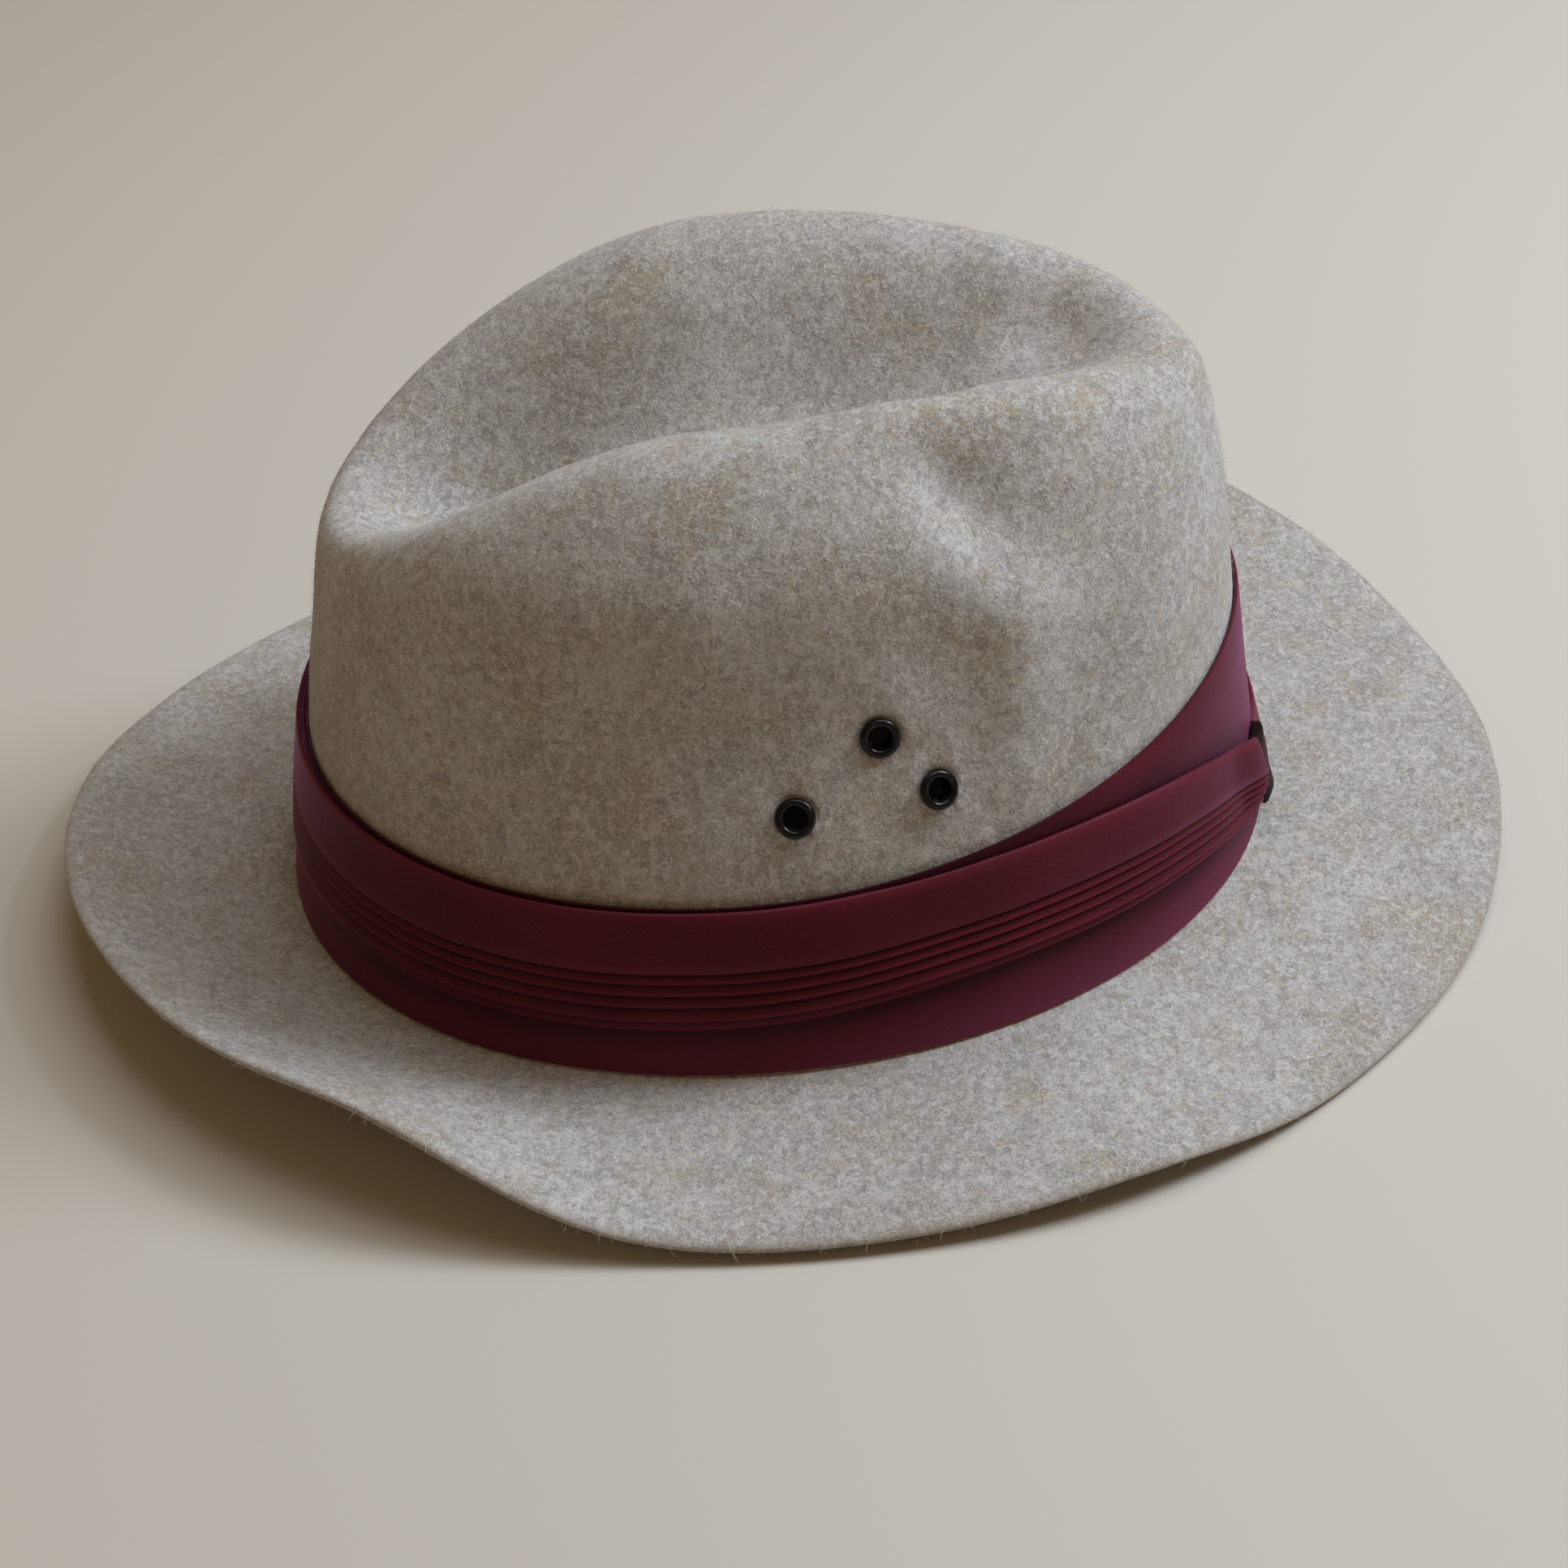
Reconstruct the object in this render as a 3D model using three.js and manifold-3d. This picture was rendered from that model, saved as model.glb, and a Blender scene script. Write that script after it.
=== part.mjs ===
// Fedora: a soft wool-felt hat with a sateen band, a pleated sash gathered in a narrow wrap, and vent eyelets.
// Millimetres, +Z up. The hat's front faces -Y and the wearer's right is -X. It stands on its brim at z = 0.
import * as THREE from "three";
import { mergeVertices } from "three/addons/utils/BufferGeometryUtils.js";
import Module from "manifold-3d";

const wasm = await Module();
wasm.setup();

// A turn is an angle in degrees round the head, from the front (0) to the wearer's right (90), the back (180)
// and the wearer's left (270).
const COLUMNS = 72; // felt columns round the head
const STEP = 360 / COLUMNS;
const FELT = 2.3; // thickness of the felt
const GAP = 0.3; // running gap between layers
const SHARPEST = 0.7; // limit on how far a sharp bend stretches the felt's corner

// The crown leans a little on its uneven brim.
const FOOT_HEIGHT = 9.7; // middle of the crown's foot above the table
const DIP_FRONT = -2.7; // degrees that the front hangs lower
const DIP_LEFT = -2.9; // degrees that the wearer's left hangs lower

// Crown: one row per level, from the foot up over the shoulder and down into the centre crease. front, back and
// half are the plan's half lengths and half width, and the z columns are heights at the front, back and sides.
const BAND_ZONE = 40; // height of the straight wall between the first two rows
const CROWN = [
  { level: "foot", front: 102, back: 102.3, half: 88.8, zFront: -1.9, zBack: -1.9, zSide: 1.9 },
  { level: "band top", front: 99.2, back: 93.9, half: 82.9, zFront: 50, zBack: 39, zSide: 39.5 },
  { level: "waist", front: 99, back: 89.5, half: 78.5, zFront: 66, zBack: 57, zSide: 63.5 },
  { level: "shoulder", front: 97, back: 85.5, half: 69.5, zFront: 85, zBack: 74.5, zSide: 91 },
  { level: "lip outside", front: 93, back: 81, half: 56, zFront: 99, zBack: 84, zSide: 108.5 },
  { level: "lip", front: 86.5, back: 70, half: 44, zFront: 104, zBack: 80.5, zSide: 115.5 },
  { level: "lip inside", front: 76.5, back: 60, half: 29, zFront: 101, zBack: 75, zSide: 110 },
  { level: "crease side", front: 64, back: 50, half: 18, zFront: 96, zBack: 73, zSide: 98 },
  { level: "crease floor", front: 46, back: 36, half: 9, zFront: 91, zBack: 77, zSide: 89 },
  { level: "crease middle", front: 20, back: 16, half: 3, zFront: 87.5, zBack: 83.5, zSide: 86 },
];
const CROWN_ROWS = 15; // felt rows between the band's top and the crease middle

// Dents pressed into the crown by hand: where they are, how deep, how far they spread, and how many degrees
// they lean toward the front for each millimetre down.
const DENTS = [
  { dent: "right side", turn: 88, height: 68, depth: 7, spreadTurn: 32, spreadHeight: 20, slant: 0 },
  { dent: "left side", turn: 270, height: 66, depth: 6, spreadTurn: 32, spreadHeight: 18, slant: 0 },
  { dent: "right pinch", turn: 54, height: 102, depth: 8, spreadTurn: 11, spreadHeight: 13, slant: 0.6 },
  { dent: "left pinch", turn: 308, height: 92, depth: 7, spreadTurn: 12, spreadHeight: 12, slant: -0.6 },
];
const DENTED_LEVELS = [1, 1.7, 4.4, 5.6]; // levels between which the dents come in and go out again

// Brim: its reach from the crown and how far its edge stands above or below the crown's foot.
const BRIM = [
  { turn: 0, reach: 53.2, rise: -4 },
  { turn: 20, reach: 52.7, rise: -9 },
  { turn: 40, reach: 50.7, rise: -9.8 },
  { turn: 60, reach: 49.2, rise: -0.5 },
  { turn: 80, reach: 46.7, rise: -1.8 },
  { turn: 100, reach: 46.7, rise: 2 },
  { turn: 120, reach: 47.7, rise: 21.5 },
  { turn: 140, reach: 49.7, rise: 23 },
  { turn: 160, reach: 51.2, rise: 22 },
  { turn: 180, reach: 51.7, rise: 15.5 },
  { turn: 200, reach: 52.2, rise: 3.5 },
  { turn: 220, reach: 52.2, rise: -6 },
  { turn: 240, reach: 52.2, rise: -11.8 },
  { turn: 260, reach: 52.7, rise: -13.5 },
  { turn: 280, reach: 52.7, rise: -3 },
  { turn: 300, reach: 53.2, rise: 6 },
  { turn: 320, reach: 53.2, rise: 2.5 },
  { turn: 340, reach: 53.2, rise: -4.5 },
];
const BRIM_FRACTIONS = [1, 0.9, 0.75, 0.58, 0.4, 0.22, 0.08];
const CURL = 1.6; // how late a rising brim turns up
const DROOP = 1.15; // how late a falling brim turns down

// Band and sash, as layers outward from the felt. Heights run up the wall from the crown's foot.
const FLARE = 1.6; // how far the layers lean out over the brim at the crown's foot
const FLARE_HEIGHT = 8;
const BAND_THICK = 1;
const BAND_LOW = 0.5;
const BAND_HIGH = 39;
const SASH_THICK = 1;
const SASH_OUT = GAP + BAND_THICK + GAP;
const PLEATS = [0.5, 0.59, 0.69, 0.79, 0.91]; // folds down the sash, as shares of its width from the top
const PLEAT_PROUD = 0.7;
const PLEAT_TUCK = 0.01; // share of the sash's width that each fold tucks back under in
const SASH_EDGES = [
  { turn: 0, low: 1.5, high: 13 },
  { turn: 15, low: 4, high: 18 },
  { turn: 32, low: 9.5, high: 27.5 },
  { turn: 50, low: 13, high: 34.5 },
  { turn: 68, low: 14.3, high: 38 },
  { turn: 90, low: 12, high: 38.6 },
  { turn: 120, low: 11, high: 38.6 },
  { turn: 180, low: 11, high: 38.6 },
  { turn: 230, low: 11, high: 38.6 },
  { turn: 265, low: 12, high: 38.6 },
  { turn: 290, low: 13, high: 37 },
  { turn: 312, low: 12, high: 33 },
  { turn: 330, low: 8, high: 25 },
  { turn: 345, low: 3, high: 16 },
];

// Wrap: a narrow strip that holds the gathered ends of the sash.
const WRAP_TURN = 11;
const WRAP_HALF = 3.6; // degrees
const WRAP_IN = SASH_OUT + 0.15; // its flat back
const WRAP_PROUD = 5.2;
const WRAP_LOW = 1.2;
const WRAP_HIGH = 17;
const WRAP_CLEAR = 0.25; // degrees left open beside it
const WRAP_SHOULDER = 0.75; // how far out its rounded sides start, as a share of WRAP_PROUD
const WRAP_DEGREE = 1.7; // millimetres in a degree at the wrap

// Eyelets: two low and one high, in a triangle. level counts rows of the crown table, up from the foot.
const EYELETS = [
  { place: "back", turn: 84, level: 1.55 },
  { place: "middle", turn: 73, level: 2.05 },
  { place: "front", turn: 67.5, level: 1.53 },
];
const EYELET_FLANGE = 4.2;
const EYELET_BARREL = 2.9;
const EYELET_HOLE = 2.3;
const EYELET_RIM = 0.5; // height of the outside flange's rim
const EYELET_ROLL = 1.3; // height of its rolled crown
const EYELET_CLINCH = 3.9;
const EYELET_CLINCH_THICK = 0.8;
const EYELET_SEGMENTS = 16;

const { degToRad: radians, smoothstep, euclideanModulo } = THREE.MathUtils;

// Smooth value of a column at a turn, through rows that go once round the head.
function roundRows(rows, column, turn) {
  const count = rows.length;
  const wrapped = euclideanModulo(turn, 360);
  const at = (i) => rows[euclideanModulo(i, count)];
  const turnAt = (i) => at(i).turn + 360 * Math.floor(i / count);
  let i = count - 1;
  while (i > 0 && turnAt(i) > wrapped) i -= 1;
  const slope = (k) => (at(k + 1)[column] - at(k - 1)[column]) / (turnAt(k + 1) - turnAt(k - 1));
  const span = turnAt(i + 1) - turnAt(i);
  const t = (wrapped - turnAt(i)) / span;
  const start = at(i)[column];
  const end = at(i + 1)[column];
  const [t2, t3] = [t * t, t * t * t];
  const ends = (2 * t3 - 3 * t2 + 1) * start + (3 * t2 - 2 * t3) * end;
  return ends + span * ((t3 - 2 * t2 + t) * slope(i) + (t3 - t2) * slope(i + 1));
}

const plans = CROWN.map((row) => new THREE.Vector3(row.front, row.back, row.half));
const heights = CROWN.map((row) => new THREE.Vector3(row.zFront, row.zBack, row.zSide));
const planCurve = new THREE.CatmullRomCurve3(plans, false, "catmullrom");
const heightCurve = new THREE.CatmullRomCurve3(heights, false, "catmullrom");

// Point of an oval level, given its plan and its heights.
function ovalPoint(turn, plan, rise) {
  const [sine, cosine] = [Math.sin(radians(turn)), Math.cos(radians(turn))];
  const ahead = cosine > 0;
  const length = ahead ? plan.x : plan.y;
  const endHeight = ahead ? rise.x : rise.y;
  const height = rise.z * sine * sine + endHeight * cosine * cosine;
  return new THREE.Vector3(-plan.z * sine, -length * cosine, height);
}

// How far the dents push the crown in at a turn and height.
function dentDepth(turn, height) {
  let depth = 0;
  for (const dent of DENTS) {
    const rise = height - dent.height;
    const middle = dent.turn + dent.slant * rise;
    const across = (euclideanModulo(turn - middle + 180, 360) - 180) / dent.spreadTurn;
    const up = rise / dent.spreadHeight;
    depth += dent.depth * Math.exp(-across * across - up * up);
  }
  return depth;
}

// Outside of the felt crown at a turn and a level of the crown table, where 0 is the foot and 1 the band's top.
function crownPoint(turn, level) {
  if (level <= 1) {
    const low = ovalPoint(turn, plans[0], heights[0]);
    const high = ovalPoint(turn, plans[1], heights[1]);
    return low.lerp(high, level);
  }
  const along = level / (CROWN.length - 1);
  const point = ovalPoint(turn, planCurve.getPoint(along), heightCurve.getPoint(along));
  const [clearBelow, full, fading, clearAbove] = DENTED_LEVELS;
  const share = smoothstep(level, clearBelow, full) * (1 - smoothstep(level, fading, clearAbove));
  const inward = new THREE.Vector3(-point.x, -point.y, 0).normalize();
  return point.addScaledVector(inward, share * dentDepth(turn, point.z));
}

// Upper side of the brim at a turn, where fraction is 0 at the crown and 1 at the cut edge.
function brimPoint(turn, fraction) {
  const [sine, cosine] = [Math.sin(radians(turn)), Math.cos(radians(turn))];
  const { front, half } = CROWN[0];
  const outward = new THREE.Vector3(-front * sine, -half * cosine, 0).normalize();
  const reach = roundRows(BRIM, "reach", turn);
  const rise = roundRows(BRIM, "rise", turn);
  const flat = Math.sqrt(reach * reach - rise * rise);
  const bend = rise > 0 ? CURL : DROOP;
  const point = crownPoint(turn, 0).addScaledVector(outward, flat * fraction);
  point.z += rise * Math.pow(fraction, bend);
  return point;
}

// Places a point of the upright hat as the hat stands on its brim.
const lean = new THREE.Euler(radians(DIP_FRONT), radians(DIP_LEFT), 0);
const standing = new THREE.Matrix4().makeRotationFromEuler(lean).setPosition(0, 0, FOOT_HEIGHT);
const stand = (point) => point.clone().applyMatrix4(standing);

// Point on the crown's wall inside the band zone: a height up the wall and a distance out from the felt.
function wallPoint(turn, height, out) {
  const point = crownPoint(turn, height / BAND_ZONE);
  const along = crownPoint(turn + 0.5, height / BAND_ZONE).sub(crownPoint(turn - 0.5, height / BAND_ZONE));
  const up = crownPoint(turn, 1).sub(crownPoint(turn, 0));
  return stand(point.addScaledVector(along.cross(up).normalize(), -out));
}

// Point in the layers of the band, whose foot flares out over the brim.
function layerPoint(turn, height, out) {
  return wallPoint(turn, height, out + FLARE * Math.max(1 - height / FLARE_HEIGHT, 0));
}

// Moves a grid of points along its own normals, and keeps the distance between the faces at sharp bends.
function offsetGrid(grid, distance) {
  const rows = grid.length;
  const columns = grid[0].length;
  const faceNormal = (r, c) => {
    const next = (c + 1) % columns;
    const rising = grid[r + 1][next].clone().sub(grid[r][c]);
    const falling = grid[r + 1][c].clone().sub(grid[r][next]);
    return falling.cross(rising).normalize();
  };
  return grid.map((row, r) =>
    row.map((point, c) => {
      const sum = new THREE.Vector3();
      let faces = 0;
      for (const faceRow of [r - 1, r]) {
        for (const faceColumn of [(c - 1 + columns) % columns, c]) {
          if (faceRow < 0 || faceRow > rows - 2) continue;
          sum.add(faceNormal(faceRow, faceColumn));
          faces += 1;
        }
      }
      const evenness = Math.max(sum.length() / faces, SHARPEST);
      return point.clone().addScaledVector(sum.normalize(), distance / evenness);
    }),
  );
}

// Turns rings of points into one closed geometry. Rings follow each other along the body, each going round it.
// A body whose last ring meets its first has no caps, and otherwise the end rings are capped with flat faces.
function ringBody(rings, closed, capOutline) {
  const size = rings[0].length;
  const positions = rings.flat().flatMap((point) => point.toArray());
  const faces = [];
  const spans = closed ? rings.length : rings.length - 1;
  for (let r = 0; r < spans; r += 1) {
    const here = r * size;
    const there = ((r + 1) % rings.length) * size;
    for (let c = 0; c < size; c += 1) {
      const next = (c + 1) % size;
      faces.push(here + c, here + next, there + next, here + c, there + next, there + c);
    }
  }
  if (!closed) {
    const last = (rings.length - 1) * size;
    const clockwise = THREE.ShapeUtils.isClockWise(capOutline);
    const triangles = THREE.ShapeUtils.triangulateShape(capOutline, []);
    for (const [a, b, c] of triangles) {
      const [d, e] = clockwise ? [c, b] : [b, c];
      faces.push(a, e, d, last + a, last + d, last + e);
    }
  }
  return outwardGeometry(positions, faces);
}

// Builds an indexed geometry and turns its faces outward if its volume comes out negative.
function outwardGeometry(positions, faces) {
  const corner = (i) => new THREE.Vector3().fromArray(positions, 3 * i);
  let volume = 0;
  for (let f = 0; f < faces.length; f += 3) {
    volume += corner(faces[f]).dot(corner(faces[f + 1]).cross(corner(faces[f + 2])));
  }
  if (volume < 0) faces.reverse();
  const geometry = new THREE.BufferGeometry();
  geometry.setAttribute("position", new THREE.Float32BufferAttribute(positions, 3));
  geometry.setIndex(faces);
  return geometry;
}

// Grid of the felt's upper and outer side, from the brim's edge to the crease middle, standing on the table.
function feltGrid() {
  const turns = Array.from({ length: COLUMNS }, (_, column) => column * STEP);
  const brim = BRIM_FRACTIONS.map((fraction) => turns.map((turn) => brimPoint(turn, fraction)));
  const wall = [0, 0.5, 1].map((level) => turns.map((turn) => crownPoint(turn, level)));
  const top = Array.from({ length: CROWN_ROWS }, (_, row) => {
    const level = 1 + ((row + 1) / CROWN_ROWS) * (CROWN.length - 2);
    return turns.map((turn) => crownPoint(turn, level));
  });
  return [...brim, ...wall, ...top].map((row) => row.map(stand));
}

// Felt body: crown and brim in one sheet of even thickness, pressed flat where the brim rests.
function feltGeometry() {
  const outer = feltGrid();
  const inner = offsetGrid(outer, -FELT);
  for (const point of inner.flat()) point.z = Math.max(point.z, 0);
  for (const point of outer.flat()) point.z = Math.max(point.z, FELT);
  const rows = outer.length;
  const points = [...outer.flat(), ...inner.flat()];
  const positions = points.flatMap((point) => point.toArray());
  const inside = rows * COLUMNS;
  const faces = [];
  const quad = (a, b, c, d) => faces.push(a, b, c, a, c, d);
  for (let column = 0; column < COLUMNS; column += 1) {
    const next = (column + 1) % COLUMNS;
    for (let row = 0; row < rows - 1; row += 1) {
      const here = row * COLUMNS;
      const above = here + COLUMNS;
      quad(here + column, here + next, above + next, above + column);
      quad(inside + above + column, inside + above + next, inside + here + next, inside + here + column);
    }
    quad(inside + column, inside + next, next, column);
  }
  for (const start of [(rows - 1) * COLUMNS, inside + (rows - 1) * COLUMNS]) {
    const middle = new THREE.Vector3();
    for (let column = 0; column < COLUMNS; column += 1) {
      middle.add(new THREE.Vector3().fromArray(positions, 3 * (start + column)));
    }
    const pole = positions.length / 3;
    positions.push(...middle.divideScalar(COLUMNS).toArray());
    for (let column = 0; column < COLUMNS; column += 1) {
      const next = (column + 1) % COLUMNS;
      if (start < inside) faces.push(start + column, start + next, pole);
      else faces.push(start + next, start + column, pole);
    }
  }
  return outwardGeometry(positions, faces);
}

// Closed solid for the cutting library, from a geometry in the hat's own place.
function toSolid(geometry) {
  const bare = geometry.clone();
  bare.deleteAttribute("normal");
  bare.deleteAttribute("uv");
  const merged = mergeVertices(bare, 1e-4);
  const vertProperties = new Float32Array(merged.attributes.position.array);
  const triVerts = new Uint32Array(merged.index.array);
  return new wasm.Manifold(new wasm.Mesh({ numProp: 3, vertProperties, triVerts }));
}

// Geometry of a solid that the cutting library made.
function fromSolid(solid) {
  const mesh = solid.getMesh();
  const geometry = new THREE.BufferGeometry();
  geometry.setAttribute("position", new THREE.BufferAttribute(new Float32Array(mesh.vertProperties), 3));
  geometry.setIndex(new THREE.BufferAttribute(new Uint32Array(mesh.triVerts), 1));
  return geometry;
}

// Solid of revolution about +Z from a closed outline of [radius, height] pairs.
function turned(outline) {
  const closedOutline = [...outline, outline[0]].map(([radius, height]) => new THREE.Vector2(radius, height));
  return new THREE.LatheGeometry(closedOutline, EYELET_SEGMENTS).rotateX(Math.PI / 2);
}

// Place of an eyelet: its origin on the felt's outer side and its +Z along the felt's normal.
function eyeletPlace({ turn, level }) {
  const small = 0.5;
  const along = crownPoint(turn + small, level).sub(crownPoint(turn - small, level));
  const up = crownPoint(turn, level + small / 4).sub(crownPoint(turn, level - small / 4));
  const normal = up.cross(along).normalize().transformDirection(standing);
  const place = new THREE.Matrix4().makeRotationFromQuaternion(
    new THREE.Quaternion().setFromUnitVectors(new THREE.Vector3(0, 0, 1), normal),
  );
  return place.setPosition(stand(crownPoint(turn, level)));
}

// Eyelet: rolled flange outside, barrel through the felt, clinched flange inside.
function eyeletGeometry() {
  const clinch = -FELT - EYELET_CLINCH_THICK;
  return turned([
    [EYELET_HOLE, clinch],
    [EYELET_CLINCH, clinch],
    [EYELET_CLINCH, -FELT],
    [EYELET_BARREL, -FELT],
    [EYELET_BARREL, 0],
    [EYELET_FLANGE, 0],
    [EYELET_FLANGE, EYELET_RIM],
    [(EYELET_FLANGE + EYELET_HOLE) / 2, EYELET_ROLL],
    [EYELET_HOLE, EYELET_RIM],
  ]);
}

// Clearance that an eyelet needs in the felt: the barrel's hole and a shallow seat under each flange.
function eyeletClearance() {
  const reach = 8;
  const seat = GAP + 0.05;
  return turned([
    [0, -reach],
    [EYELET_CLINCH + GAP, -reach],
    [EYELET_CLINCH + GAP, seat - FELT],
    [EYELET_BARREL + GAP, seat - FELT],
    [EYELET_BARREL + GAP, -seat],
    [EYELET_FLANGE + GAP, -seat],
    [EYELET_FLANGE + GAP, reach],
    [0, reach],
  ]);
}

// Felt with the eyelets' holes cut through its wall.
function piercedFelt() {
  let felt = toSolid(feltGeometry());
  for (const eyelet of EYELETS) {
    const cutter = eyeletClearance().applyMatrix4(eyeletPlace(eyelet));
    felt = felt.subtract(toSolid(cutter));
  }
  return fromSolid(felt);
}

// Plain band round the crown's foot.
function bandGeometry() {
  const rings = Array.from({ length: COLUMNS }, (_, column) => {
    const turn = column * STEP;
    return [
      layerPoint(turn, BAND_LOW, GAP),
      layerPoint(turn, BAND_LOW, GAP + BAND_THICK),
      layerPoint(turn, FLARE_HEIGHT, GAP + BAND_THICK),
      layerPoint(turn, BAND_HIGH, GAP + BAND_THICK),
      layerPoint(turn, BAND_HIGH, GAP),
      layerPoint(turn, FLARE_HEIGHT, GAP),
    ];
  });
  return ringBody(rings, true);
}

// Cross-section of the sash as [share of its width from the top, distance out] pairs.
function sashSection() {
  const face = SASH_OUT + SASH_THICK;
  const folds = PLEATS.flatMap((fold) => [
    [fold, face + PLEAT_PROUD],
    [fold + PLEAT_TUCK, face],
  ]);
  return [[0, SASH_OUT], [0, face], ...folds, [1, face], [1, SASH_OUT], [PLEATS.at(-1), SASH_OUT]];
}

// Pleated sash: it starts and ends at the wrap.
function sashGeometry() {
  const section = sashSection();
  const start = WRAP_TURN + WRAP_HALF + WRAP_CLEAR;
  const end = WRAP_TURN - WRAP_HALF - WRAP_CLEAR + 360;
  const turns = [start];
  for (let turn = Math.ceil(start / STEP) * STEP; turn < end; turn += STEP) turns.push(turn);
  turns.push(end);
  const rings = turns.map((turn) => {
    const low = roundRows(SASH_EDGES, "low", turn);
    const high = roundRows(SASH_EDGES, "high", turn);
    return section.map(([share, out]) => layerPoint(turn, high + (low - high) * share, out));
  });
  const outline = section.map(([share, out]) => new THREE.Vector2(out, -share * (WRAP_HIGH - WRAP_LOW)));
  return ringBody(rings, false, outline);
}

// Wrap: a rounded strip that stands upright across the sash's gathered ends.
function wrapGeometry() {
  const section = [
    [-WRAP_HALF, WRAP_IN],
    [-WRAP_HALF, WRAP_PROUD * WRAP_SHOULDER],
    [-WRAP_HALF / 2, WRAP_PROUD],
    [WRAP_HALF / 2, WRAP_PROUD],
    [WRAP_HALF, WRAP_PROUD * WRAP_SHOULDER],
    [WRAP_HALF, WRAP_IN],
  ];
  const rings = [WRAP_LOW, FLARE_HEIGHT, WRAP_HIGH].map((height) =>
    section.map(([turn, out]) => layerPoint(WRAP_TURN + turn, height, out)),
  );
  const outline = section.map(([turn, out]) => new THREE.Vector2(turn * WRAP_DEGREE, out));
  return ringBody(rings, false, outline);
}

// A named sub-part with its own material.
function subPart(name, geometry, color, roughness, metalness) {
  const flat = geometry.index ? geometry.toNonIndexed() : geometry;
  flat.computeVertexNormals();
  const mesh = new THREE.Mesh(flat, new THREE.MeshStandardMaterial({ color, roughness, metalness }));
  mesh.name = name;
  return mesh;
}

const OATMEAL = 0x9d978e;
const BURGUNDY = 0x4f1a27;
const DARK_MAROON = 0x1c0c10;
const BLACK = 0x111112;

const fedora = new THREE.Group();
fedora.add(subPart("felt_body", piercedFelt(), OATMEAL, 0.95, 0));
fedora.add(subPart("hat_band", bandGeometry(), BURGUNDY, 0.55, 0));
fedora.add(subPart("pleated_sash", sashGeometry(), BURGUNDY, 0.55, 0));
fedora.add(subPart("sash_wrap", wrapGeometry(), DARK_MAROON, 0.55, 0));
for (const eyelet of EYELETS) {
  const part = subPart(`eyelet_${eyelet.place}`, eyeletGeometry(), BLACK, 0.2, 0.6);
  part.applyMatrix4(eyeletPlace(eyelet));
  fedora.add(part);
}

// The origin lies on the table under the middle of the hat's box.
const middle = new THREE.Box3().setFromObject(fedora).getCenter(new THREE.Vector3());
fedora.position.set(-middle.x, -middle.y, 0);

export default fedora;
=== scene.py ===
"""Fedora of heathered wool felt with a pleated sateen sash: its finishes, its light and its camera.

Metres, +Z up. The hat's front faces -Y and the wearer's right is -X.
"""

import logging
import math
from collections.abc import Iterator
from contextlib import contextmanager
from dataclasses import dataclass
from enum import Enum

import bpy
import numpy as np
from mathutils import Matrix, Vector
from mathutils.bvhtree import BVHTree


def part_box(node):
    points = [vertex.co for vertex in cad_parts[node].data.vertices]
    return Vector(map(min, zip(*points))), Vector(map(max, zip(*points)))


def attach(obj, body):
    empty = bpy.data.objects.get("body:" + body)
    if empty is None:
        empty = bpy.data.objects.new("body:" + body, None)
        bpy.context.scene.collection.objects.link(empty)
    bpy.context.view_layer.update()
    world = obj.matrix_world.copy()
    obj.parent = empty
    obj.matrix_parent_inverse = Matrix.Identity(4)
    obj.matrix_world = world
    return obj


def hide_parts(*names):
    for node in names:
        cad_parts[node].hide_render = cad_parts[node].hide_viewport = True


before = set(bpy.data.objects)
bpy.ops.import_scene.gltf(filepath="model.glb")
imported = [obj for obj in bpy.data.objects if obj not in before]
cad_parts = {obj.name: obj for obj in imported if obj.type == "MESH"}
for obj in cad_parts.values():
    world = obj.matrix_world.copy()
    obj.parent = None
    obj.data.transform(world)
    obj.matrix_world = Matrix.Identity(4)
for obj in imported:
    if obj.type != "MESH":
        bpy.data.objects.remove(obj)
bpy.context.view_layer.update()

LOG = logging.getLogger("fedora")
MM = 0.001
WEIGHT_STEPS = 20
NEAR_ZERO = 1e-12
MERGE = 0.02 * MM
QUAD_BEND, QUAD_SKEW = math.radians(50), math.radians(60)
Socket = bpy.types.NodeSocket
NodeTree = bpy.types.NodeTree
Material = bpy.types.Material
Piece = bpy.types.Object
Node = bpy.types.Node
Colour = tuple[float, float, float, float]
Fed = dict[str | int, object]
Plain = tuple[tuple[str, object], ...]
Values = tuple[float, ...]
Pair = tuple[float, float]
Triple = tuple[float, float, float]


class Slot(Enum):
    """The record's material slots."""

    FELT = "oatmeal_felt"
    SATEEN = "burgundy_sateen"
    DARK_SATEEN = "dark_sateen"
    EYELET = "black_eyelet"


# ---------------------------------------------------------------- bench work


def deselect() -> None:
    """Deselects everything, so that an operator acts on the new piece alone."""
    bpy.ops.object.select_all(action="DESELECT")


def take(piece: Piece) -> None:
    """Makes one piece the only selected and active object.

    Args:
        piece: The object to work on.
    """
    deselect()
    piece.select_set(True)
    bpy.context.view_layer.objects.active = piece


@contextmanager
def editing(select: str = "") -> Iterator[None]:
    """Keeps edit mode on for the active object, and selects all or nothing if asked.

    Args:
        select: SELECT or DESELECT, or nothing to leave the selection as it is.
    """
    bpy.ops.object.mode_set(mode="EDIT")
    if select:
        bpy.ops.mesh.select_all(action=select)
    yield
    bpy.ops.object.mode_set(mode="OBJECT")


def new_piece(name: str, data: bpy.types.ID) -> Piece:
    """Puts a new object in the scene.

    Args:
        name: Name of the object.
        data: Its mesh, lamp or camera.

    Returns:
        The object.
    """
    piece = bpy.data.objects.new(name, data)
    bpy.context.scene.collection.objects.link(piece)
    return piece


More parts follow.
